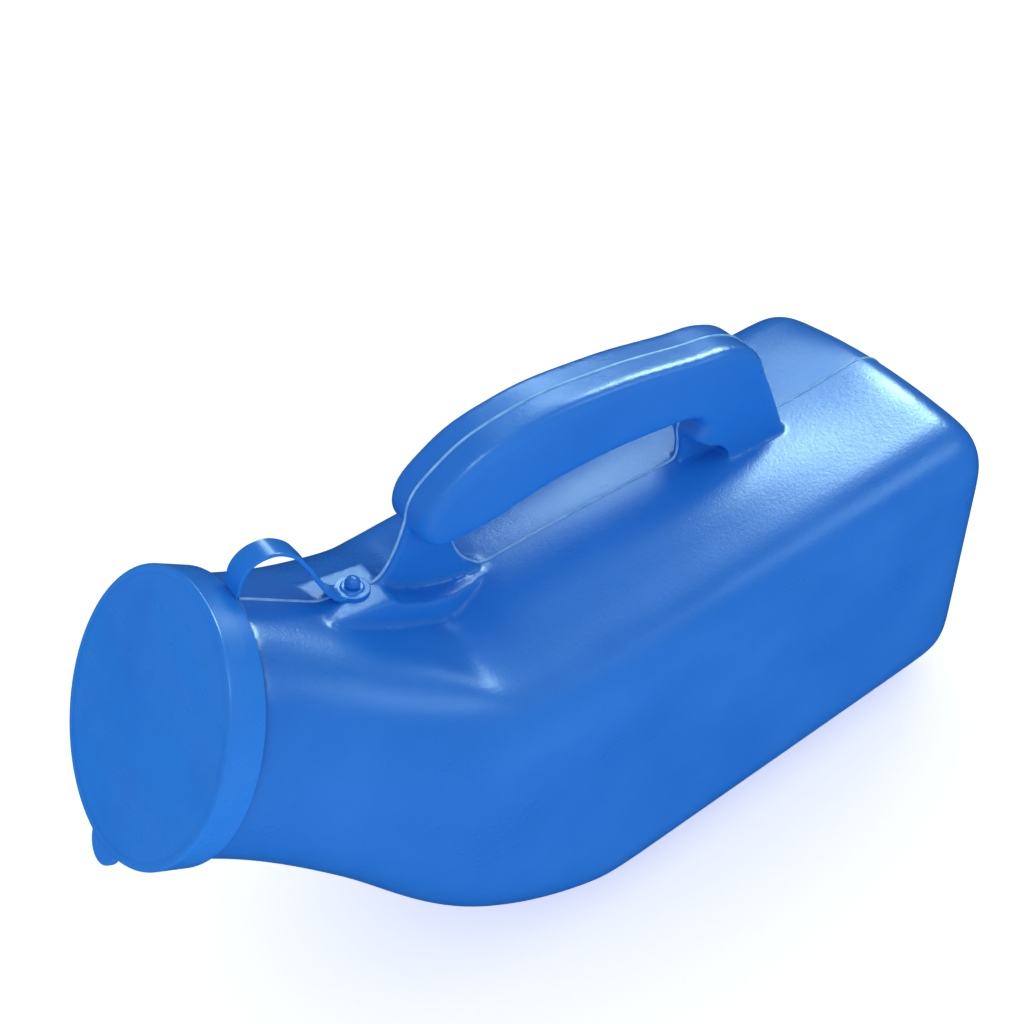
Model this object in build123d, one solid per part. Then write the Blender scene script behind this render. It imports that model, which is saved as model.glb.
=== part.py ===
from build123d import *
import math
import os

# A lying male urine bottle: one blow-moulded bottle with a moulded-in handle, and a snap lid on a strap.
# Millimetres. +X runs from the mouth towards the base end, +Z is up, and the bottle lies on z = 0.
# The origin is the middle of the flat underside, on the centre plane y = 0.

# ---- bottle body ----
BODY_WIDTH = 95.0
BODY_HEIGHT = 109.3
ROOF_RISE = 4.4            # the top is a shallow roof that peaks on the parting line
ROOF_Z = BODY_HEIGHT + ROOF_RISE
BASE_X = 89.3              # outside of the base end
BODY_FRONT_X = -58.0       # the straight body starts here
TOP_CORNER_R = 16.3
BOTTOM_CORNER_R = 26.6
BASE_EDGE_R = 14.0
WALL = 1.8

# ---- neck, slanted up towards the mouth ----
NECK_TILT = 37.5           # degrees of the mouth's axis above -X
MOUTH_X = -156.9           # centre of the lid's outer face
MOUTH_Z = BODY_HEIGHT + 19.3
NECK_R = 33.7
NECK_LENGTH = 4.0          # of the round collar behind the neck's step
RIM_R = NECK_R - 1.1       # the rim steps in, so that the skirt is nearly flush with the neck

# ---- lid ----
LID_R = NECK_R + 1.8
LID_SKIRT_DEPTH = 9.7
LID_WALL = 1.7
LID_EDGE_R = 0.8
LID_RIM_GAP = 0.4          # between the rim's end and the inside of the lid's disc
LID_NECK_GAP = 0.8         # between the skirt's open edge and the neck's step
TAB_WIDTH = 13.0
TAB_REACH = 9.2
TAB_THICKNESS = 2.0
TAB_SETBACK = 4.0          # from the lid's face to the tab's front

# ---- handle ----
GRIP_WIDTH = 18.0
GRIP_EDGE_CUT = 4.0        # how far the grip's long edges are cut back
HOLLOW_EDGE_CUT = GRIP_EDGE_CUT - WALL * (2 - math.sqrt(2))
WEB_THICKNESS = 3.0

# ---- stud and strap ----
STUD_X = -99.8
STUD_Z = BODY_HEIGHT + 22.3
STUD_SLOPE = 14.0          # degrees that the seat under the stud falls towards the base
STUD_PIN_R = 1.5
STUD_HEAD_R = 2.1
STUD_HEAD_H = 2.4
STUD_DOME = 0.8            # of the head's radius, rounded over at its top
STRAP_WIDTH = 6.4
STRAP_THICKNESS = 1.1
EYELET_R = 4.5
EYELET_CLEARANCE = 0.2
EYELET_RING_R = 2.9
EYELET_RING_H = 0.5
HINGE_GAP = 0.4            # from the hinge line to the strap's first solid

MOUTH_AXIS = Vector(-math.cos(math.radians(NECK_TILT)), 0, math.sin(math.radians(NECK_TILT)))
MOUTH_UP = Vector(math.sin(math.radians(NECK_TILT)), 0, math.cos(math.radians(NECK_TILT)))
MOUTH = Vector(MOUTH_X, 0, MOUTH_Z)
RIM_SETBACK = LID_WALL + LID_RIM_GAP
STEP_SETBACK = LID_SKIRT_DEPTH + LID_NECK_GAP

# ---- shoulder stations between the neck and the straight body ----
# centre x, centre z, tilt, half width, up, down, top corner radius, bottom corner radius, roof rise
STEP = MOUTH - MOUTH_AXIS * STEP_SETBACK
STEP_FLAT = 1.0            # the neck's section is a circle but for this much at its top and bottom
CORNER_LEFT = 1.4          # and its corners stop this much short of the neck's radius
SHOULDER = [
    (
        STEP.X, STEP.Z, NECK_TILT,
        NECK_R, NECK_R - STEP_FLAT, NECK_R - STEP_FLAT,
        NECK_R - CORNER_LEFT, NECK_R - CORNER_LEFT, STEP_FLAT,
    ),
    (
        -111.6, 0.86 * BODY_HEIGHT, NECK_TILT - 2.0,
        0.437 * BODY_WIDTH, 0.293 * BODY_HEIGHT, 0.362 * BODY_HEIGHT,
        24.0, 33.0, 2.5,
    ),
    (
        -92.0, 0.597 * BODY_HEIGHT, 15.0,
        0.486 * BODY_WIDTH, 0.432 * BODY_HEIGHT, 0.421 * BODY_HEIGHT,
        17.5, 34.0, 4.0,
    ),
    (
        BODY_FRONT_X, BODY_HEIGHT / 2, 0.0,
        BODY_WIDTH / 2, BODY_HEIGHT / 2, BODY_HEIGHT / 2,
        TOP_CORNER_R, BOTTOM_CORNER_R, ROOF_RISE,
    ),
]

# ---- handle seen from the side, from the top of the rear foot over the grip and back under it ----
# x, and the height above the roof
GRIP_LOOP = [
    (29.6, 22.8), (25.6, 32.3), (17.5, 38.3), (5.0, 41.5),
    (-21.2, 47.2), (-50.0, 49.3), (-70.5, 44.1), (-81.6, 33.8),
    (-79.5, 26.7), (-71.0, 24.5), (-40.0, 26.1), (-6.0, 22.7),
    (8.0, 18.9), (12.0, 11.3),
]
REAR_FOOT_X = 41.0
ROOT_DEPTH = 13.7          # the foot, the web and the seat start this far inside the roof and are cut to it

# ---- web seen from the side: x, and the height above the stud's seat ----
WEB_FRONT = [(-100.0, -0.6), (-94.0, -1.2), (-89.5, 1.9), (-80.8, 15.4)]
OPENING_FRONT_X = -71.5

# ---- seat under the stud ----
SEAT_HALF_WIDTH = 8.6
SEAT_FRONT_X = -110.0
SEAT_FOOT_X = -102.0       # where the seat's front goes down into the neck
SEAT_REAR_X = -92.0
RAMP_END_X = -72.0
RAMP_END_RISE = 2.0        # above the roof

# ---- strap seen from the side: the arch's first points from the hinge, its last ones from the stud ----
ARCH_FROM_HINGE = [(3.4, 6.3), (9.3, 7.5), (14.3, 4.7)]
ARCH_FROM_STUD = [(-10.5, 18.4), (-8.7, 11.9), (-6.6, 5.6)]

OVERLAP = 2.0              # how far one form runs into the next before they are joined or cut


def section(x, z, tilt, half_width, up, down, top_r, bottom_r, rise, inset=0.0):
    """A closed cross-section, square to the centre plane, with a rounded bottom and a crowned top."""
    a = half_width - inset
    top = up - inset
    low = -(down - inset)
    rt = top_r - inset
    rb = bottom_r - inset
    diagonal = math.sqrt(0.5)
    tilt_rad = math.radians(tilt)
    axis = (-math.cos(tilt_rad), 0, math.sin(tilt_rad))
    plane = Plane(origin=(x, 0, z), x_dir=(0, -1, 0), z_dir=axis)
    bottom = a - rb
    side_low = low + rb
    side_top = top - rt
    crown = a - rt
    low_arc = (bottom + rb * diagonal, side_low - rb * diagonal)
    top_arc = (crown + rt * diagonal, side_top + rt * diagonal)
    edges = [
        Line((-bottom, low), (bottom, low)),
        ThreePointArc((bottom, low), low_arc, (a, side_low)),
        Line((a, side_low), (a, side_top)),
        ThreePointArc((a, side_top), top_arc, (crown, top)),
        ThreePointArc((crown, top), (0, top + rise), (-crown, top)),
        ThreePointArc((-crown, top), (-top_arc[0], top_arc[1]), (-a, side_top)),
        Line((-a, side_top), (-a, side_low)),
        ThreePointArc((-a, side_low), (-low_arc[0], low_arc[1]), (-bottom, low)),
    ]
    return plane * make_face(Wire(edges))


def mouth_disc(setback, radius, depth):
    """A disc about the mouth's axis: its front is `setback` behind the lid's face."""
    front = MOUTH - MOUTH_AXIS * setback
    return extrude(Plane(origin=front, z_dir=-MOUTH_AXIS) * Circle(radius), depth)


def bottle_form(inset=0.0):
    """The outside of body and shoulder, or the cavity when inset by the wall."""
    shoulder = loft([section(*station, inset=inset) for station in SHOULDER])
    straight = extrude(section(*SHOULDER[-1], inset=inset), -(BASE_X - inset - BODY_FRONT_X))
    base_edges = straight.faces().sort_by(Axis.X)[-1].edges()
    straight = fillet(base_edges, BASE_EDGE_R - inset)
    below = Pos(0, 0, inset - BODY_HEIGHT) * Box(4 * BASE_X, 2 * BODY_WIDTH, 2 * BODY_HEIGHT)
    return shoulder + straight - below


def seat(inset=0.0):
    """The raised spine behind the neck that carries the stud and the web, and its hollow underside."""
    fall = math.tan(math.radians(STUD_SLOPE))
    root_z = ROOF_Z - ROOT_DEPTH
    outline = [
        (SEAT_FRONT_X, STUD_Z - (SEAT_FRONT_X - STUD_X) * fall - inset),
        (SEAT_REAR_X, STUD_Z - (SEAT_REAR_X - STUD_X) * fall - inset),
        (RAMP_END_X, ROOF_Z + RAMP_END_RISE - inset),
        (RAMP_END_X, root_z),
        (SEAT_FOOT_X, root_z),
    ]
    profile = make_face(Polyline(*outline, close=True))
    return extrude(Plane.XZ * profile, SEAT_HALF_WIDTH - inset, both=True)


def beside(curve, distance, steps=18):
    """Points along a flat curve, moved to its left by the given distance."""
    points = []
    for i in range(steps + 1):
        along = curve.tangent_at(i / steps)
        points.append(curve.position_at(i / steps) + Vector(-along.Y, along.X, 0) * distance)
    return points


def grip_outline(inset=0.0):
    """The grip and its rear foot seen from the side, as one closed face on the centre plane."""
    loop = Spline([(x, ROOF_Z + height) for x, height in GRIP_LOOP])
    if inset:
        loop = Spline(beside(loop, inset))
    start = loop.position_at(0)
    end = loop.position_at(1)
    root_z = ROOF_Z - ROOT_DEPTH
    foot = Polyline((end.X, end.Y), (end.X, root_z), (REAR_FOOT_X - inset, root_z), (start.X, start.Y))
    return Plane.XZ * make_face(Wire([loop] + foot.edges()))


def edges_above_roof(bar, half_width):
    """The long edges of a bar's two flat sides, where they stand clear of the body."""
    return [
        edge for edge in bar.edges()
        if math.isclose(abs(edge.center().Y), half_width, abs_tol=0.01) and edge.center().Z > ROOF_Z
    ]


def grip_form():
    """The grip with its rear foot, solid, with its long edges cut back."""
    half_width = GRIP_WIDTH / 2
    bar = extrude(grip_outline(), half_width, both=True)
    return chamfer(edges_above_roof(bar, half_width), GRIP_EDGE_CUT)


def grip_hollow():
    """The channel inside the grip; its edges are cut back, so that the wall stays even."""
    half_width = GRIP_WIDTH / 2 - WALL
    bar = extrude(grip_outline(WALL), half_width, both=True)
    return chamfer(edges_above_roof(bar, half_width), HOLLOW_EDGE_CUT)


def web_form():
    """The thin web on the centre plane that ties the nose of the grip to the seat and the body's top."""
    front = [(x, STUD_Z + height) for x, height in WEB_FRONT]
    root_z = ROOF_Z - ROOT_DEPTH
    nose_z = front[-1][1]
    rear = [(OPENING_FRONT_X, nose_z), (OPENING_FRONT_X, root_z)]
    back = Polyline(front[-1], *rear, (front[0][0], root_z), front[0])
    profile = Plane.XZ * make_face(Wire([Spline(front)] + back.edges()))
    return extrude(profile, WEB_THICKNESS / 2, both=True)


def bottle_outside():
    """Everything that the bottle's outer skin encloses, without the handle."""
    neck = mouth_disc(STEP_SETBACK, NECK_R, NECK_LENGTH)
    rim = mouth_disc(RIM_SETBACK, RIM_R, STEP_SETBACK - RIM_SETBACK + OVERLAP)
    return bottle_form() + seat() + neck + rim


def bottle_cavity():
    """The space inside the bottle, open at the mouth."""
    depth = STEP_SETBACK - RIM_SETBACK + NECK_LENGTH + OVERLAP
    bore = mouth_disc(RIM_SETBACK - OVERLAP, RIM_R - WALL, depth)
    return bottle_form(WALL) + seat(WALL) + bore


def bottle_shell():
    """The hollow bottle, open at the mouth and through the roof into the handle's rear foot."""
    return bottle_outside() - bottle_cavity() - grip_hollow()


def handle():
    """The grip, the rear foot and the web, cut to the outside of the body they grow from."""
    return grip_form() + web_form() - bottle_outside() - grip_hollow()


def stud_plane(height=0.0):
    """A plane on the seat at the stud, tipped with the seat; x runs along the seat, z out of it."""
    slope = math.radians(STUD_SLOPE)
    out = Vector(math.sin(slope), 0, math.cos(slope))
    origin = Vector(STUD_X, 0, STUD_Z) + out * height
    return Plane(origin=origin, x_dir=(math.cos(slope), 0, -math.sin(slope)), z_dir=out)


def strap_stud():
    """The domed stud that the eyelet is pushed over."""
    pin_top = STRAP_THICKNESS + EYELET_RING_H + 2 * EYELET_CLEARANCE
    pin = extrude(stud_plane(-OVERLAP) * Circle(STUD_PIN_R), OVERLAP + pin_top)
    head = extrude(stud_plane(pin_top) * Circle(STUD_HEAD_R), STUD_HEAD_H)
    head = fillet(head.edges().sort_by(Axis.Z)[-1], STUD_HEAD_R * STUD_DOME)
    return pin + head - bottle_outside()


def hinge_point():
    """The middle of the skirt's open edge on the strap's side, where the strap starts to bend."""
    return MOUTH - MOUTH_AXIS * LID_SKIRT_DEPTH + MOUTH_UP * LID_R


def lid():
    """The snap lid: disc, skirt and the pull tab on the side away from the strap."""
    cup = mouth_disc(0, LID_R, LID_SKIRT_DEPTH)
    face_edge = cup.edges().filter_by(GeomType.CIRCLE).sort_by(Axis(MOUTH, MOUTH_AXIS))[-1]
    cup = fillet(face_edge, LID_EDGE_R)
    tab_plane = Plane(origin=MOUTH - MOUTH_AXIS * TAB_SETBACK, x_dir=(0, 1, 0), z_dir=-MOUTH_AXIS)
    tip_r = TAB_WIDTH / 2
    tip_y = -(LID_R + TAB_REACH - tip_r)
    tongue = Pos(0, tip_y) * Circle(tip_r) + Pos(0, tip_y / 2) * Rectangle(TAB_WIDTH, -tip_y)
    tab = extrude(tab_plane * tongue, TAB_THICKNESS)
    return cup + tab - mouth_disc(LID_WALL, LID_R - LID_WALL, LID_SKIRT_DEPTH)


def lid_strap():
    """The strap's arch and the eyelet that sits round the stud."""
    landing = stud_plane(STRAP_THICKNESS / 2)
    hinge = hinge_point()
    start = hinge + MOUTH_UP * (STRAP_THICKNESS / 2) - MOUTH_AXIS * HINGE_GAP
    end = landing.origin
    on_seat = end - landing.x_dir * EYELET_R
    arch = [(hinge.X + x, hinge.Z + z) for x, z in ARCH_FROM_HINGE]
    arch += [(STUD_X + x, STUD_Z + z) for x, z in ARCH_FROM_STUD]
    middle = Spline([(start.X, start.Z)] + arch + [(on_seat.X, on_seat.Z), (end.X, end.Z)])
    outer = beside(middle, STRAP_THICKNESS / 2)
    inner = beside(middle, -STRAP_THICKNESS / 2)
    edges = [Spline(outer), Line(outer[-1], inner[-1]), Spline(inner), Line(inner[0], outer[0])]
    band = extrude(Plane.XZ * make_face(Wire(edges)), STRAP_WIDTH / 2, both=True)
    eyelet = extrude(stud_plane() * Circle(EYELET_R), STRAP_THICKNESS)
    ring = extrude(stud_plane(STRAP_THICKNESS) * Circle(EYELET_RING_R), EYELET_RING_H)
    hole = extrude(stud_plane(-OVERLAP) * Circle(STUD_PIN_R + EYELET_CLEARANCE), 2 * OVERLAP)
    return band + eyelet + ring - hole - bottle_outside()


# ---- write one file per piece ----
NODES = {
    "bottle_shell": bottle_shell,
    "handle": handle,
    "strap_stud": strap_stud,
    "lid": lid,
    "lid_strap": lid_strap,
}

os.makedirs("parts", exist_ok=True)
for node, make in NODES.items():
    piece = make()
    piece.label = node
    export_step(piece, "parts/" + node + ".step")
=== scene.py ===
import math

import bpy
from mathutils import Matrix, Vector


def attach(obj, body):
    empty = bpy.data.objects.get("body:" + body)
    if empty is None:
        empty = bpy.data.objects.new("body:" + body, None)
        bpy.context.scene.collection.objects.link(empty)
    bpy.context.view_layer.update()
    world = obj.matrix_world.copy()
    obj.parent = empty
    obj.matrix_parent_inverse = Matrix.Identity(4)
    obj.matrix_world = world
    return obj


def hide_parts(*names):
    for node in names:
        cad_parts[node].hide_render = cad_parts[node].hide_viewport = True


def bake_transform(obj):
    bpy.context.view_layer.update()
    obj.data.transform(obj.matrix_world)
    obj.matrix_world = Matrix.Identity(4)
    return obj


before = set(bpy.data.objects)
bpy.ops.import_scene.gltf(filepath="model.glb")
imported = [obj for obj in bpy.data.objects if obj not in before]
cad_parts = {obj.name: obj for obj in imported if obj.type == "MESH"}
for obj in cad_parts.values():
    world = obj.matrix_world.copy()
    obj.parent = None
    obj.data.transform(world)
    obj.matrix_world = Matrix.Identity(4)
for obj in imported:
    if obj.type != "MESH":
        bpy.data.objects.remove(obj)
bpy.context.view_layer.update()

MM = 0.001

# ---- driving sizes of the bottle, in millimetres, as in the CAD ----
BODY_WIDTH = 95.0
BODY_HEIGHT = 109.3
BASE_X = 88.9              # the parting line stands 0.4 outside this
BODY_FRONT_X = -58.0
TOP_CORNER_R = 16.3
BOTTOM_CORNER_R = 26.6
BASE_EDGE_R = 14.0
ROOF_RISE = 4.4
WALL = 1.8

NECK_TILT = 37.5
NECK_R = 33.7
RIM_R = 32.6
RIM_SETBACK = 2.1
STEP_SETBACK = 10.5

LID_R = 35.5
LID_DEPTH = 9.7
LID_WALL = 1.7
LID_EDGE_R = 0.75
LID_BORDER = 1.9           # flat round the slightly sunk face
LID_FACE_SUNK = 0.22
TAB_R = 6.5
TAB_X = -38.2
TAB_ROOT = 3.0             # the tab's inner half, drawn on into the skirt
TAB_THICKNESS = 2.0

STRAP_WIDTH = 6.4
STRAP_THICKNESS = 1.1
EYELET_R = 4.5
EYELET_GAP = 0.1           # over the seat
EYELET_FLANGE = 1.5
EYELET_RING_WIDTH = 1.0
EYELET_RING_RISE = 0.5
KNOB_R = 2.1
KNOB_RISE = 2.3            # the middle of the dome, over the seat

GRIP_WIDTH = 18.0
GRIP_EDGE_R = 3.2
WEB_THICKNESS = 3.0
WEB_EDGE_R = 0.7
FOOT_WEB = 3.6             # left standing between the two pockets of the rear foot
POCKET_EDGE_R = 1.6
BEAD_R = 0.4
STUD = Vector((-99.8, 0.0, 131.6))
STUD_SLOPE = math.radians(14.0)

RING_POINTS = 64
SKIN_STEP = 0.88           # the mesh size of the bottle's skin

tilt = math.radians(NECK_TILT)
MOUTH_OUT = Vector((-math.cos(tilt), 0.0, math.sin(tilt)))
MOUTH_UP = Vector((math.sin(tilt), 0.0, math.cos(tilt)))
MOUTH = Vector((-156.9, 0.0, 128.6))
SEAT_OUT = Vector((math.sin(STUD_SLOPE), 0.0, math.cos(STUD_SLOPE)))
SEAT_ALONG = Vector((math.cos(STUD_SLOPE), 0.0, -math.sin(STUD_SLOPE)))


# ---- helpers ----
def object_mode():
    if bpy.context.object and bpy.context.object.mode != "OBJECT":
        bpy.ops.object.mode_set(mode="OBJECT")


def nothing_selected():
    object_mode()
    bpy.ops.object.select_all(action="DESELECT")


def only(obj):
    """Make one object the only selected one, and active."""
    nothing_selected()
    obj.select_set(True)
    bpy.context.view_layer.objects.active = obj


def rename(obj, name):
    obj.name = name
    obj.data.name = name
    return obj


def settle(obj):
    """Put an object's place into its mesh, so that its origin is the world's."""
    only(obj)
    bpy.ops.object.transform_apply(location=True, rotation=True, scale=True)
    return obj


def pick(obj, test, kind="VERT"):
    """Go into edit mode with those vertices, edges or faces selected whose middle, in mm, passes a test."""
    only(obj)
    bpy.ops.object.mode_set(mode="EDIT")
    bpy.ops.mesh.select_mode(type=kind)
    bpy.ops.mesh.select_all(action="DESELECT")
    bpy.ops.object.mode_set(mode="OBJECT")
    mesh = obj.data
    if kind == "VERT":
        middles = [(point, point.co) for point in mesh.vertices]
    elif kind == "EDGE":
        ends = [(edge, edge.vertices) for edge in mesh.edges]
        middles = [(edge, (mesh.vertices[a].co + mesh.vertices[b].co) / 2) for edge, (a, b) in ends]
    else:
        middles = [(face, face.center) for face in mesh.polygons]
    for item, middle in middles:
        item.select = bool(test(middle / MM))
    bpy.ops.object.mode_set(mode="EDIT")


def modify(obj, kind, **settings):
    """Add one modifier, set it and apply it."""
    only(obj)
    modifier = obj.modifiers.new(kind.lower(), kind)
    for name, value in settings.items():
        setattr(modifier, name, value)
    bpy.ops.object.modifier_apply(modifier=modifier.name)


def joined(first, *others):
    only(first)
    for other in others:
        other.select_set(True)
    bpy.ops.object.join()
    return bpy.context.object


def cut(obj, tool):
    """Take a closed tool away from a closed piece."""
    modify(obj, "BOOLEAN", operation="DIFFERENCE", solver="MANIFOLD", object=tool)
    bpy.data.objects.remove(tool)


def fuse(obj, other):
    modify(obj, "BOOLEAN", operation="UNION", solver="MANIFOLD", object=other)
    bpy.data.objects.remove(other)


def outward(obj):
    """Merge doubles and point all faces outwards."""
    only(obj)
    bpy.ops.object.mode_set(mode="EDIT")
    bpy.ops.mesh.select_all(action="SELECT")
    bpy.ops.mesh.remove_doubles(threshold=0.00001)
    bpy.ops.mesh.normals_make_consistent(inside=False)
    bpy.ops.object.mode_set(mode="OBJECT")


# ---- the body and its shoulder: rings bridged from the rim to the base ----
class Ring:
    """One cross-section, square to the centre plane; sizes in millimetres."""

    def __init__(self, x, z, tilt, half_width, up, down, top_r, bottom_r, rise):
        self.values = (x, z, tilt, half_width, up, down, top_r, bottom_r, rise)

    def half_outline(self, inset):
        """Points from the top's middle round one side to the bottom's middle."""
        half_width, up, down, top_r, bottom_r, rise = self.values[3:]
        a = half_width - inset
        top = up - inset
        low = inset - down
        rt = max(top_r - inset, 1.0)
        rb = max(bottom_r - inset, 1.0)
        flat = max(a - rt, 0.001)
        points = [(flat * i / 12, top + rise * (1 - (i / 12) ** 2)) for i in range(12)]
        for i in range(13):
            angle = math.pi / 2 * (1 - i / 12)
            points.append((a - rt + rt * math.cos(angle), top - rt + rt * math.sin(angle)))
        for i in range(13):
            angle = -math.pi / 2 * i / 12
            points.append((a - rb + rb * math.cos(angle), low + rb + rb * math.sin(angle)))
        points.append((0.0, low))
        return points

    def add(self, inset=0.0):
        """A circle whose points are spread evenly round this cross-section."""
        x, z, tilt = self.values[:3]
        outline = self.half_outline(inset)
        walked = [0.0]
        for (ya, va), (yb, vb) in zip(outline, outline[1:]):
            walked.append(walked[-1] + math.hypot(yb - ya, vb - va))
        half = RING_POINTS // 2
        spread = []
        leg = 0
        for i in range(half + 1):
            goal = walked[-1] * i / half
            while leg < len(outline) - 2 and walked[leg + 1] < goal:
                leg += 1
            share = (goal - walked[leg]) / max(walked[leg + 1] - walked[leg], 1e-9)
            (ya, va), (yb, vb) = outline[leg], outline[leg + 1]
            spread.append((ya + (yb - ya) * share, va + (vb - va) * share))
        spread += [(-y, v) for y, v in reversed(spread[1:-1])]
        nothing_selected()
        bpy.ops.mesh.primitive_circle_add(vertices=RING_POINTS, radius=NECK_R * MM)
        ring = bpy.context.object
        up = Vector((math.sin(math.radians(tilt)), 0.0, math.cos(math.radians(tilt))))
        for point, (y, v) in zip(ring.data.vertices, spread):
            point.co = (Vector((x, y, z)) + up * v) * MM
        return ring


def on_mouth_axis(setback, radius):
    """A round section of the neck, a distance behind the lid's face."""
    centre = MOUTH - MOUTH_OUT * setback
    return Ring(centre.x, centre.z, NECK_TILT, radius, radius, radius, radius - 0.02, radius - 0.02, 0.0)


def body_ring(x, rise=ROOF_RISE, inset=0.0):
    middle = BODY_HEIGHT / 2
    return Ring(
        x, middle, 0.0, BODY_WIDTH / 2 - inset, middle - inset, middle - inset,
        TOP_CORNER_R - inset, BOTTOM_CORNER_R - inset, rise,
    )


# the shoulder's stations, from the neck's step to the front of the straight body
SHOULDER = [
    on_mouth_axis(STEP_SETBACK - 12.0, NECK_R),
    on_mouth_axis(STEP_SETBACK, NECK_R),
    Ring(-111.6, 94.0, 35.5, 41.5, 32.0, 39.6, 24.0, 33.0, 2.5),
    Ring(-92.0, 65.3, 15.0, 46.2, 47.2, 46.0, 17.5, 34.0, 4.0),
    body_ring(BODY_FRONT_X, 7.4),
    body_ring(BODY_FRONT_X + 34.0, 6.9),
]
# the roof's peak along the straight body: x and rise
ROOF_LINE = [
    (-41.0, 7.3), (-24.0, 6.9), (0.0, 5.8), (22.0, 4.0), (44.0, 2.6), (60.0, 2.9),
    (BASE_X - BASE_EDGE_R, 4.0),
]
SHOULDER_STEPS = 6
EDGE_STEPS = 5


def between(stations, i, share):
    """A ring on a smooth curve through the stations, a share of the way from station i to the next."""
    before, a, b, after = (stations[i + k].values for k in (-1, 0, 1, 2))
    far = [math.hypot(q[0] - p[0], q[1] - p[1]) for p, q in ((before, a), (a, b), (b, after))]
    values = []
    for p, q, r, s in zip(before, a, b, after):
        slope_in = ((q - p) / far[0] * far[1] + (r - q) / far[1] * far[0]) / (far[0] + far[1]) * far[1]
        slope_out = ((r - q) / far[1] * far[2] + (s - r) / far[2] * far[1]) / (far[1] + far[2]) * far[1]
        t = share
        values.append(
            q * (2 * t**3 - 3 * t**2 + 1) + slope_in * (t**3 - 2 * t**2 + t)
            + r * (3 * t**2 - 2 * t**3) + slope_out * (t**3 - t**2)
        )
    return Ring(*values)


def blown_form(name, mouth_rings, inset):
    """The closed form of body, shoulder and neck, from its mouth to its base."""
    rings = list(mouth_rings)
    for i in range(1, len(SHOULDER) - 2):
        rings += [between(SHOULDER, i, step / SHOULDER_STEPS) for step in range(SHOULDER_STEPS)]
    rings.append(SHOULDER[-2])
    rings += [body_ring(x, rise) for x, rise in ROOF_LINE]
    base_r = BASE_EDGE_R - inset
    for step in range(1, EDGE_STEPS + 1):
        angle = math.pi / 2 * step / EDGE_STEPS
        draw_in = base_r * (1 - math.cos(angle))
        x = BASE_X - BASE_EDGE_R + base_r * math.sin(angle)
        rings.append(body_ring(x, ROOF_LINE[-1][1] * (1 - 0.6 * step / EDGE_STEPS), draw_in))
    hoops = [ring.add(0.0 if ring in mouth_rings else inset) for ring in rings]
    form = rename(joined(*hoops), name)
    bpy.ops.object.mode_set(mode="EDIT")
    bpy.ops.mesh.select_all(action="SELECT")
    bpy.ops.mesh.bridge_edge_loops()
    bpy.ops.mesh.select_all(action="DESELECT")
    bpy.ops.mesh.select_non_manifold()
    bpy.ops.mesh.edge_face_add()
    bpy.ops.object.mode_set(mode="OBJECT")
    outward(form)
    return form


def bottle_outside():
    """The outside, with the rim's rounded edge and the step that the skirt stops at."""
    step = STEP_SETBACK
    mouth_rings = [
        on_mouth_axis(RIM_SETBACK, RIM_R - 0.5),
        on_mouth_axis(RIM_SETBACK + 0.4, RIM_R),
        on_mouth_axis(step - 0.9, RIM_R),
        on_mouth_axis(step - 0.3, RIM_R + 0.1),
        on_mouth_axis(step - 0.1, NECK_R - 0.4),
    ]
    return blown_form("bottle_moulding", mouth_rings, 0.0)


def bottle_cavity():
    """The inside, one wall smaller, run on out through the mouth."""
    bore = RIM_R - WALL
    mouth_rings = [on_mouth_axis(RIM_SETBACK - 3.0, bore), on_mouth_axis(STEP_SETBACK - 1.0, bore)]
    return blown_form("cavity", mouth_rings, WALL)


# ---- handle, web, seat and stud ----
def flat_curve(name, points, closed=True):
    """A flat curve on the centre plane through (x, z) points; a third value makes a point a sharp corner."""
    data = bpy.data.curves.new(name, "CURVE")
    data.dimensions = "2D"
    spline = data.splines.new("BEZIER")
    spline.bezier_points.add(len(points) - 1)
    for knot, point in zip(spline.bezier_points, points):
        kind = "VECTOR" if len(point) == 3 else "AUTO"
        knot.co = (point[0] * MM, point[1] * MM, 0.0)
        knot.handle_left_type = kind
        knot.handle_right_type = kind
    spline.use_cyclic_u = closed
    spline.resolution_u = 10
    obj = bpy.data.objects.new(name, data)
    bpy.context.scene.collection.objects.link(obj)
    obj.rotation_euler = (math.pi / 2, 0.0, 0.0)
    return obj


def plate(name, points, width, edge_r):
    """A flat outline given a width across the centre plane, its long edges rounded."""
    curve = flat_curve(name, points)
    curve.data.fill_mode = "BOTH"
    curve.data.extrude = (width / 2 - edge_r) * MM
    curve.data.bevel_depth = edge_r * MM
    curve.data.bevel_resolution = 5
    curve.data.offset = -edge_r * MM
    only(curve)
    bpy.ops.object.convert(target="MESH")
    obj = settle(bpy.context.object)
    outward(obj)
    return obj


GRIP_OUTLINE = [
    (30.2, 136.5), (25.8, 145.6), (17.6, 151.0), (5.0, 153.9), (-21.2, 159.6), (-50.0, 161.8), (-70.5, 157.0),
    (-81.6, 147.0), (-80.0, 140.0), (-71.0, 137.6), (-40.0, 139.4), (-6.0, 136.2), (4.5, 133.2), (6.6, 130.6),
    (4.4, 126.5), (4.6, 119.5), (3.0, 112.0, 0), (3.0, 95.0, 0), (43.5, 95.0, 0),
]
WEB_OUTLINE = [
    (-100.0, 131.0, 0), (-94.0, 130.4), (-89.5, 133.5), (-80.8, 147.0, 0), (-70.0, 147.0, 0), (-71.2, 139.0),
    (-71.0, 133.0), (-69.0, 124.0), (-64.0, 117.5), (-58.0, 112.0, 0), (-58.0, 100.0, 0), (-100.0, 100.0, 0),
]
FOOT_POCKET = [
    (-8.0, 125.6, 0), (3.4, 125.6), (8.5, 122.6), (14.0, 118.6), (18.0, 108.0, 0), (-8.0, 108.0, 0),
]


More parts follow.
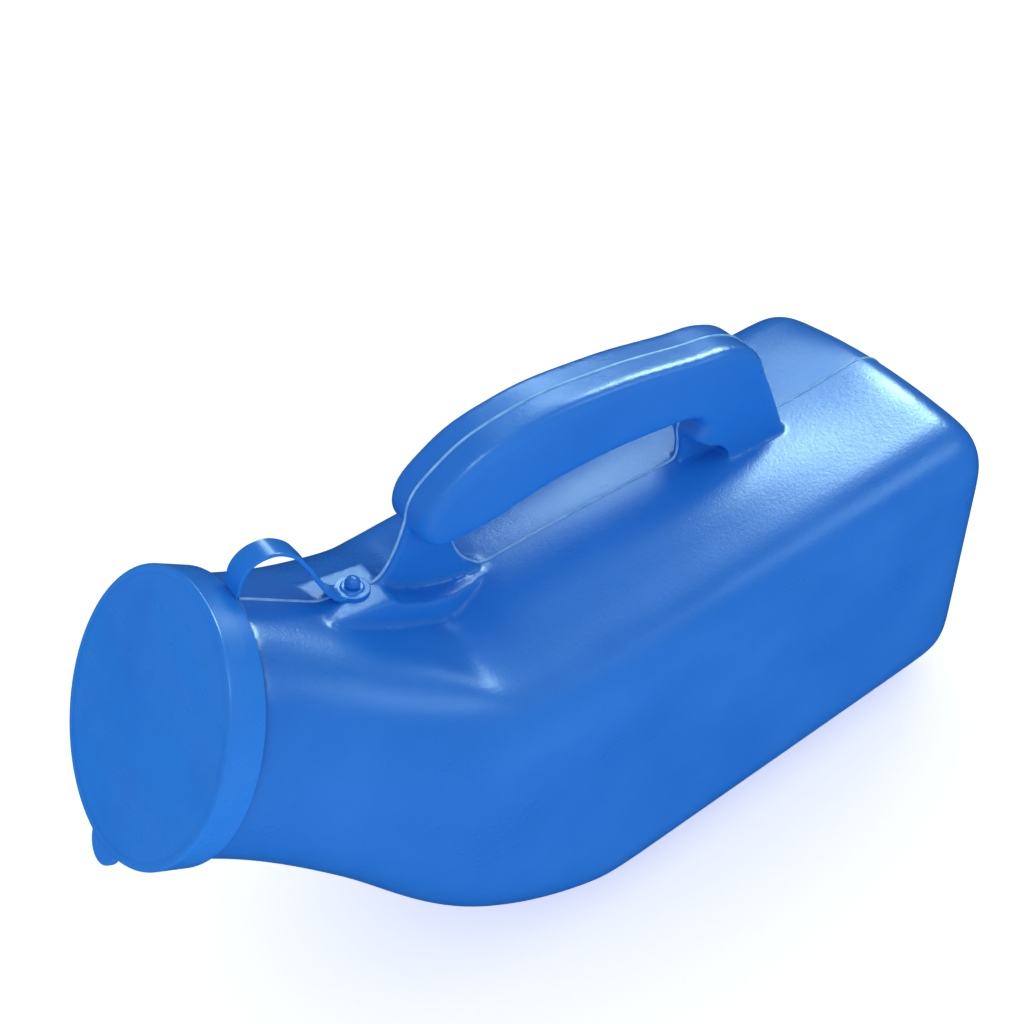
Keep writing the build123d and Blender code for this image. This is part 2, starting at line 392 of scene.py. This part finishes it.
def handle_grip():
    """The grip and its rear foot, with a pocket each side of the foot's front."""
    grip = plate("grip", GRIP_OUTLINE, GRIP_WIDTH, GRIP_EDGE_R)
    pocket_width = GRIP_WIDTH / 2 + 3.0
    for side in (-1, 1):
        pocket = plate("pocket", FOOT_POCKET, pocket_width, POCKET_EDGE_R)
        pocket.location.y = side * (FOOT_WEB + pocket_width) / 2 * MM
        cut(grip, settle(pocket))
    return grip


def nose_web():
    """The thin plate that carries the grip's nose."""
    return plate("web", WEB_OUTLINE, WEB_THICKNESS, WEB_EDGE_R)


# along the seat: x, half width of its top, and height of its top
SEAT_STATIONS = [
    (-111.0, 8.6, 134.6), (-92.4, 8.8, 130.2), (-90.8, 8.8, 127.6), (-84.0, 8.7, 123.2), (-76.0, 7.8, 119.6),
    (-68.0, 5.6, 117.5), (-58.0, 1.6, 115.9),
]
SEAT_DRAFT = 1.2


def stud_seat():
    """The raised block behind the neck: a flat seat for the stud, then a ramp that narrows into the roof."""
    front = SEAT_STATIONS[0][0]
    rear = SEAT_STATIONS[-1][0]
    nothing_selected()
    bpy.ops.mesh.primitive_cube_add(
        size=1.0, location=((front + rear) / 2 * MM, 0, 0.118), scale=((rear - front) * MM, 0.0172, 0.034)
    )
    seat = settle(bpy.context.object)
    for x, half_width, height in SEAT_STATIONS[1:-1]:
        pick(seat, lambda p: True)
        bpy.ops.mesh.bisect(plane_co=(x * MM, 0, 0), plane_no=(1, 0, 0))
    for x, half_width, height in SEAT_STATIONS:
        pick(seat, lambda p: p.z > 134.0 and abs(p.x - x) < 0.3)
        bpy.ops.transform.resize(value=(1, half_width / 8.6, 1))
        bpy.ops.transform.translate(value=(0, 0, (height - 135.0) * MM))
        pick(seat, lambda p: p.z < 102.0 and abs(p.x - x) < 0.3)
        bpy.ops.transform.resize(value=(1, (half_width + SEAT_DRAFT * (height - 101.0) / 12.0) / 8.6, 1))
    object_mode()
    modify(seat, "BEVEL", width=0.0007, segments=2, limit_method="ANGLE", angle_limit=math.radians(25))
    return seat


def stud_knob():
    """The domed stud that holds the eyelet."""
    nothing_selected()
    bpy.ops.mesh.primitive_uv_sphere_add(segments=32, ring_count=16, radius=KNOB_R * MM)
    knob = bpy.context.object
    pick(knob, lambda p: p.z < -0.3)
    bpy.ops.transform.resize(value=(0.72, 0.72, 1))
    pick(knob, lambda p: p.z < -0.9)
    bpy.ops.transform.translate(value=(0, 0, -0.002))
    object_mode()
    place = Matrix((SEAT_ALONG, (0, 1, 0), SEAT_OUT)).transposed().to_4x4()
    knob.matrix_world = Matrix.Translation((STUD + SEAT_OUT * KNOB_RISE) * MM) @ place
    settle(knob)
    return knob


def bottle_moulding():
    """The bottle in one skin, its junctions softened as blown plastic softens them."""
    bottle = bottle_outside()
    modify(bottle, "SUBSURF", levels=2, render_levels=2)
    bottle = joined(bottle, handle_grip(), nose_web(), stud_seat())
    bottle.data.remesh_voxel_size = SKIN_STEP * MM
    bpy.ops.object.voxel_remesh()
    modify(bottle, "SMOOTH", factor=0.5, iterations=4)
    return rename(bottle, "bottle_moulding")


def parting_bead(bottle):
    """The raised line that the mould's two halves leave round the bottle, on its centre plane."""
    bead = bottle.copy()
    bead.data = bottle.data.copy()
    bpy.context.scene.collection.objects.link(bead)
    rename(bead, "parting_bead")
    only(bead)
    bpy.ops.object.mode_set(mode="EDIT")
    bpy.ops.mesh.select_all(action="SELECT")
    bpy.ops.mesh.bisect(plane_co=(0, 0.00002, 0), plane_no=(0, 1, 0), clear_inner=True, clear_outer=True)
    bpy.ops.object.mode_set(mode="OBJECT")
    step = MOUTH - MOUTH_OUT * (STEP_SETBACK + 0.2)
    pick(bead, lambda p: (p - step).dot(MOUTH_OUT) > 0 or p.z < 1.0)
    bpy.ops.mesh.delete(type="VERT")
    bpy.ops.object.mode_set(mode="OBJECT")
    modify(bead, "SMOOTH", factor=0.5, iterations=14)
    bpy.ops.object.convert(target="CURVE")
    bead = bpy.context.object
    bead.data.bevel_depth = BEAD_R * MM
    bead.data.bevel_resolution = 2
    bead.data.use_fill_caps = True
    bpy.ops.object.convert(target="MESH")
    return bpy.context.object


# ---- lid and strap ----
def on_mouth(obj):
    """Turn a piece made about the z axis, face up, onto the mouth."""
    turn = Matrix((MOUTH_UP, (0, 1, 0), MOUTH_OUT)).transposed().to_4x4()
    obj.matrix_world = Matrix.Translation(MOUTH * MM) @ turn
    return settle(obj)


def snap_lid():
    """The disc and its skirt, with the pull tab at the lower edge."""
    nothing_selected()
    bpy.ops.mesh.primitive_cylinder_add(
        vertices=128, radius=LID_R * MM, depth=LID_DEPTH * MM, location=(0, 0, -LID_DEPTH / 2 * MM)
    )
    lid = settle(bpy.context.object)
    pick(lid, lambda p: p.z > -0.01 and p.xy.length < 1, "FACE")
    bpy.ops.mesh.inset(thickness=LID_BORDER * MM)
    bpy.ops.mesh.inset(thickness=0.0003)
    bpy.ops.transform.translate(value=(0, 0, -LID_FACE_SUNK * MM))
    bpy.ops.object.mode_set(mode="OBJECT")
    pick(lid, lambda p: p.z < -LID_DEPTH + 0.01 and p.xy.length < 1, "FACE")
    bpy.ops.mesh.inset(thickness=LID_WALL * MM)
    bpy.ops.transform.translate(value=(0, 0, (LID_DEPTH - LID_WALL) * MM))
    bpy.ops.object.mode_set(mode="OBJECT")
    modify(lid, "BEVEL", width=LID_EDGE_R * MM, segments=4, limit_method="ANGLE", angle_limit=math.radians(50))
    bpy.ops.mesh.primitive_cylinder_add(
        vertices=48, radius=TAB_R * MM, depth=TAB_THICKNESS * MM, location=(TAB_X * MM, 0, -0.005)
    )
    tab = settle(bpy.context.object)
    pick(tab, lambda p: p.x > TAB_X)
    bpy.ops.transform.translate(value=(TAB_ROOT * MM, 0, 0))
    object_mode()
    modify(tab, "BEVEL", width=0.0004, segments=3, limit_method="ANGLE", angle_limit=math.radians(50))
    outward(lid)
    outward(tab)
    fuse(lid, tab)
    return rename(on_mouth(lid), "lid_cap")


# the middle of the strap, from the skirt's open edge over to the stud
STRAP_ARCH = [
    (-127.9, 151.6), (-124.2, 157.2), (-118.3, 158.4), (-113.3, 155.6), (-110.3, 150.0), (-108.5, 143.5),
    (-106.4, 137.2), (-103.9, 133.4), (-100.0, 132.3),
]


def eyelet():
    """The strap's round end with its raised ring and the hole for the stud."""
    nothing_selected()
    bpy.ops.mesh.primitive_cylinder_add(
        vertices=48, radius=EYELET_R * MM, depth=STRAP_THICKNESS * MM,
        location=(0, 0, STRAP_THICKNESS / 2 * MM),
    )
    ring = settle(bpy.context.object)
    pick(ring, lambda p: p.z > STRAP_THICKNESS - 0.01 and p.xy.length < 0.5, "FACE")
    bpy.ops.mesh.inset(thickness=EYELET_FLANGE * MM)
    bpy.ops.mesh.inset(thickness=0.0002)
    bpy.ops.transform.translate(value=(0, 0, EYELET_RING_RISE * MM))
    bpy.ops.mesh.inset(thickness=EYELET_RING_WIDTH * MM)
    bpy.ops.transform.translate(value=(0, 0, -0.0002))
    bpy.ops.object.mode_set(mode="OBJECT")
    modify(ring, "BEVEL", width=0.0002, segments=2, limit_method="ANGLE", angle_limit=math.radians(40))
    place = Matrix((SEAT_ALONG, (0, 1, 0), SEAT_OUT)).transposed().to_4x4()
    ring.matrix_world = Matrix.Translation((STUD + SEAT_OUT * EYELET_GAP) * MM) @ place
    return settle(ring)


def lid_strap():
    """The thin arched band from the skirt to its eyelet."""
    curve = flat_curve("strap", STRAP_ARCH, closed=False)
    curve.data.extrude = STRAP_WIDTH / 2 * MM
    only(curve)
    bpy.ops.object.convert(target="MESH")
    strap = settle(bpy.context.object)
    modify(strap, "SOLIDIFY", thickness=STRAP_THICKNESS * MM, offset=0.0)
    modify(strap, "BEVEL", width=0.00025, segments=2, limit_method="ANGLE", angle_limit=math.radians(50))
    outward(strap)
    loop = eyelet()
    outward(loop)
    fuse(strap, loop)
    return rename(strap, "lid_strap_band")


# ---- finishes ----
# ---- materials ----
class Finish:
    """A material being built: its node tree, with short ways to add and join nodes."""

    def __init__(self, name):
        self.material = bpy.data.materials.new(name)
        self.material.use_nodes = True
        self.tree = self.material.node_tree
        self.shader = self.tree.nodes["Principled BSDF"]
        self.place = self.add("ShaderNodeTexCoord").outputs["Object"]

    def add(self, kind, **settings):
        node = self.tree.nodes.new(kind)
        for name, value in settings.items():
            setattr(node, name, value)
        return node

    def join(self, out, into):
        self.tree.links.new(out, into)

    def noise(self, scale, detail=2.0, roughness=0.5, stretch=None):
        node = self.add("ShaderNodeTexNoise")
        node.inputs["Scale"].default_value = scale
        node.inputs["Detail"].default_value = detail
        node.inputs["Roughness"].default_value = roughness
        source = self.place
        if stretch:
            mapping = self.add("ShaderNodeMapping")
            mapping.inputs["Scale"].default_value = stretch
            self.join(self.place, mapping.inputs["Vector"])
            source = mapping.outputs["Vector"]
        self.join(source, node.inputs["Vector"])
        return node.outputs["Fac"]

    def spread(self, value, low, high, to_low, to_high):
        """Map a value from one range to another, held at its ends."""
        node = self.add("ShaderNodeMapRange")
        for name, number in (("From Min", low), ("From Max", high), ("To Min", to_low), ("To Max", to_high)):
            node.inputs[name].default_value = number
        self.join(value, node.inputs["Value"])
        return node.outputs["Result"]

    def sum(self, kind, a, b):
        node = self.add("ShaderNodeMath", operation=kind)
        for socket, value in zip(node.inputs, (a, b)):
            if isinstance(value, float):
                socket.default_value = value
            else:
                self.join(value, socket)
        return node.outputs["Value"]

    def colours(self, value, stops):
        ramp = self.add("ShaderNodeValToRGB")
        elements = ramp.color_ramp.elements
        while len(elements) < len(stops):
            elements.new(0.5)
        for element, (place, colour) in zip(elements, stops):
            element.position = place
            element.color = (*colour, 1.0)
        self.join(value, ramp.inputs["Fac"])
        return ramp.outputs["Color"]

    def bump(self, height, strength, distance, below=None):
        node = self.add("ShaderNodeBump")
        node.inputs["Strength"].default_value = strength
        node.inputs["Distance"].default_value = distance
        self.join(height, node.inputs["Height"])
        if below:
            self.join(below, node.inputs["Normal"])
        return node.outputs["Normal"]


DEEP_BLUE = (0.0090, 0.152, 0.630)
BLUE = (0.0105, 0.165, 0.665)
PALE_BLUE = (0.0140, 0.182, 0.700)
# pale blues painted on the parting bead, a painted highlight along its ridge
BEAD_HIGHLIGHT_BLUE = (0.230, 0.520, 0.900)
BEAD_SOFT_HIGHLIGHT_BLUE = (0.120, 0.390, 0.830)
LID_BLUE = (0.0130, 0.195, 0.740)


def blown_blue():
    """Satin polyethylene as it comes from the blow mould: mottled where it faces up, sleeker on its sides."""
    finish = Finish("bottle_blue")
    facing = finish.add("ShaderNodeSeparateXYZ")
    finish.join(finish.add("ShaderNodeNewGeometry").outputs["Normal"], facing.inputs["Vector"])
    up = finish.spread(facing.outputs["Z"], 0.45, 0.9, 0.0, 1.0)
    cloud = finish.noise(26.0, 3.0, 0.6)
    mottle = finish.noise(1200.0, 4.0, 0.65)
    pebble = finish.noise(420.0, 2.0, 0.55)
    scuff = finish.noise(140.0, 5.0, 0.7, (0.25, 1.0, 1.0))
    tint = finish.sum("ADD", finish.sum("MULTIPLY", cloud, 0.8), finish.sum("MULTIPLY", mottle, 0.2))
    colour = finish.colours(tint, ((0.34, DEEP_BLUE), (0.52, BLUE), (0.72, PALE_BLUE)))
    finish.join(colour, finish.shader.inputs["Base Color"])
    rough = finish.sum(
        "ADD", finish.spread(cloud, 0.3, 0.7, 0.26, 0.31), finish.spread(scuff, 0.4, 0.7, 0.0, 0.03)
    )
    finish.join(rough, finish.shader.inputs["Roughness"])
    fine = finish.bump(finish.sum("MULTIPLY", mottle, up), 0.22, 0.0003)
    coarse = finish.bump(finish.sum("MULTIPLY", pebble, up), 0.1, 0.0003, fine)
    finish.join(coarse, finish.shader.inputs["Normal"])
    finish.shader.inputs["Specular IOR Level"].default_value = 0.45
    return finish.material


def moulded_blue(name, roughness):
    """Glossier injection-moulded polyethylene, with faint flow marks that only change its gloss."""
    finish = Finish(name)
    cloud = finish.noise(30.0, 3.0, 0.55)
    flow = finish.noise(90.0, 3.0, 0.6, (1.0, 0.3, 1.0))
    colour = finish.colours(cloud, ((0.32, BLUE), (0.55, LID_BLUE)))
    finish.join(colour, finish.shader.inputs["Base Color"])
    gloss = finish.spread(flow, 0.3, 0.7, roughness - 0.04, roughness + 0.06)
    finish.join(gloss, finish.shader.inputs["Roughness"])
    finish.shader.inputs["Specular IOR Level"].default_value = 0.45
    return finish.material


def parting_highlight_blue():
    """The parting line, painted pale along its ridge as a highlight, and a little shiny."""
    finish = Finish("parting_highlight_blue")
    highlight_noise = finish.noise(260.0, 3.0, 0.6)
    colour = finish.colours(highlight_noise, ((0.35, BEAD_SOFT_HIGHLIGHT_BLUE), (0.65, BEAD_HIGHLIGHT_BLUE)))
    finish.join(colour, finish.shader.inputs["Base Color"])
    finish.join(finish.spread(highlight_noise, 0.3, 0.7, 0.28, 0.4), finish.shader.inputs["Roughness"])
    finish.join(finish.bump(highlight_noise, 0.3, 0.0001), finish.shader.inputs["Normal"])
    finish.shader.inputs["Specular IOR Level"].default_value = 0.5
    return finish.material


def finish_with(obj, material):
    obj.data.materials.clear()
    obj.data.materials.append(material)


bottle = bottle_moulding()
bead = parting_bead(bottle)
modify(bottle, "DECIMATE", ratio=0.5)
modify(bottle, "SMOOTH", factor=0.4, iterations=2)
cut(bottle, bottle_cavity())
bottle = rename(joined(bottle, stud_knob()), "bottle_moulding")
lid = snap_lid()
strap = lid_strap()
for piece in (bottle, bead, lid, strap):
    only(piece)
    bpy.ops.object.shade_smooth_by_angle(angle=math.radians(40))
    modify(piece, "WEIGHTED_NORMAL", mode="FACE_AREA", weight=100, keep_sharp=True)

finish_with(bottle, blown_blue())
# the parting bead's pale colour is a painted highlight
finish_with(bead, parting_highlight_blue())
finish_with(lid, moulded_blue("lid_blue", 0.26))
finish_with(strap, moulded_blue("strap_blue", 0.24))
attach(bottle, "bottle")
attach(bead, "bottle")
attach(lid, "lid")
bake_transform(strap)
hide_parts("bottle_shell", "handle", "strap_stud")
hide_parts("lid")
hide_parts("lid_strap")

# ---- floor, light and camera ----
bpy.ops.object.select_all(action="DESELECT")
bpy.ops.mesh.primitive_plane_add(size=6.0, location=(0, 0, -0.0002))
floor = rename(bpy.context.object, "floor")
paper = Finish("floor_paper")
paper.shader.inputs["Base Color"].default_value = (0.92, 0.92, 0.92, 1)
paper.shader.inputs["Roughness"].default_value = 0.9
paper.shader.inputs["Emission Color"].default_value = (1, 1, 1, 1)
paper.shader.inputs["Emission Strength"].default_value = 0.35
floor.data.materials.append(paper.material)

# neither the white surroundings nor the floor is mirrored in the plastic, which keeps its blue deep
world = bpy.data.worlds.new("studio")
bpy.context.scene.world = world
world.use_nodes = True
world.node_tree.nodes["Background"].inputs["Color"].default_value = (1, 1, 1, 1)
world.node_tree.nodes["Background"].inputs["Strength"].default_value = 0.85
world.cycles_visibility.glossy = False
floor.visible_glossy = False


def softbox(name, place, aim, size, power, sheen_only=True):
    """A square area light at a place, turned to a point; most of them only lay a sheen on the plastic."""
    bpy.ops.object.select_all(action="DESELECT")
    bpy.ops.object.light_add(type="AREA", location=place)
    light = bpy.context.object
    light.name = name
    light.data.size = size
    light.data.energy = power
    light.visible_diffuse = not sheen_only
    light.visible_glossy = sheen_only
    if sheen_only:
        light.data.color = (0.6, 0.95, 1.0)
    light.rotation_euler = (Vector(aim) - Vector(place)).to_track_quat("-Z", "Y").to_euler()


softbox("key_light", (-0.55, -1.0, 0.6), (0, 0, 0.08), 0.9, 2.0, False)
softbox("overhead_light", (0.55, 0.32, 1.05), (0, 0, 0.11), 0.8, 3.1)
softbox("roof_light", (0.66, 0.66, 0.87), (0, 0, 0.11), 0.3, 1.6)
softbox("shoulder_light", (0.88, 0.345, 0.83), (-0.08, -0.03, 0.11), 0.3, 15.0)
softbox("crest_light", (0.75, -0.6, 0.8), (-0.03, 0, 0.15), 0.35, 1.8)
softbox("nose_light", (-0.24, -0.42, 1.1), (-0.06, 0, 0.15), 0.16, 3.0)
softbox("back_light", (0.5, 0.85, 0.75), (-0.12, 0, 0.14), 0.25, 2.5)
bpy.context.scene.view_settings.view_transform = "Standard"


def viewing_camera():
    """The camera above the mouth's near side, looking down along the bottle."""
    turn = math.radians(59.42)
    down = math.radians(44.19)
    roll = math.radians(-6.55)
    forward = Vector((math.cos(down) * math.cos(turn), math.cos(down) * math.sin(turn), -math.sin(down)))
    right = Vector((math.sin(turn), -math.cos(turn), 0))
    up = right.cross(forward)
    x_axis = math.cos(roll) * right + math.sin(roll) * up
    y_axis = -math.sin(roll) * right + math.cos(roll) * up
    camera = bpy.data.objects.new("camera", bpy.data.cameras.new("camera"))
    bpy.context.scene.collection.objects.link(camera)
    camera.matrix_world = Matrix.Translation((-0.17762, -0.21292, 0.36886)) @ Matrix(
        (x_axis, y_axis, -forward)
    ).transposed().to_4x4()
    camera.data.lens = 46.445
    camera.data.sensor_width = 36.0
    camera.data.clip_start = 0.01
    bpy.context.scene.camera = camera


viewing_camera()
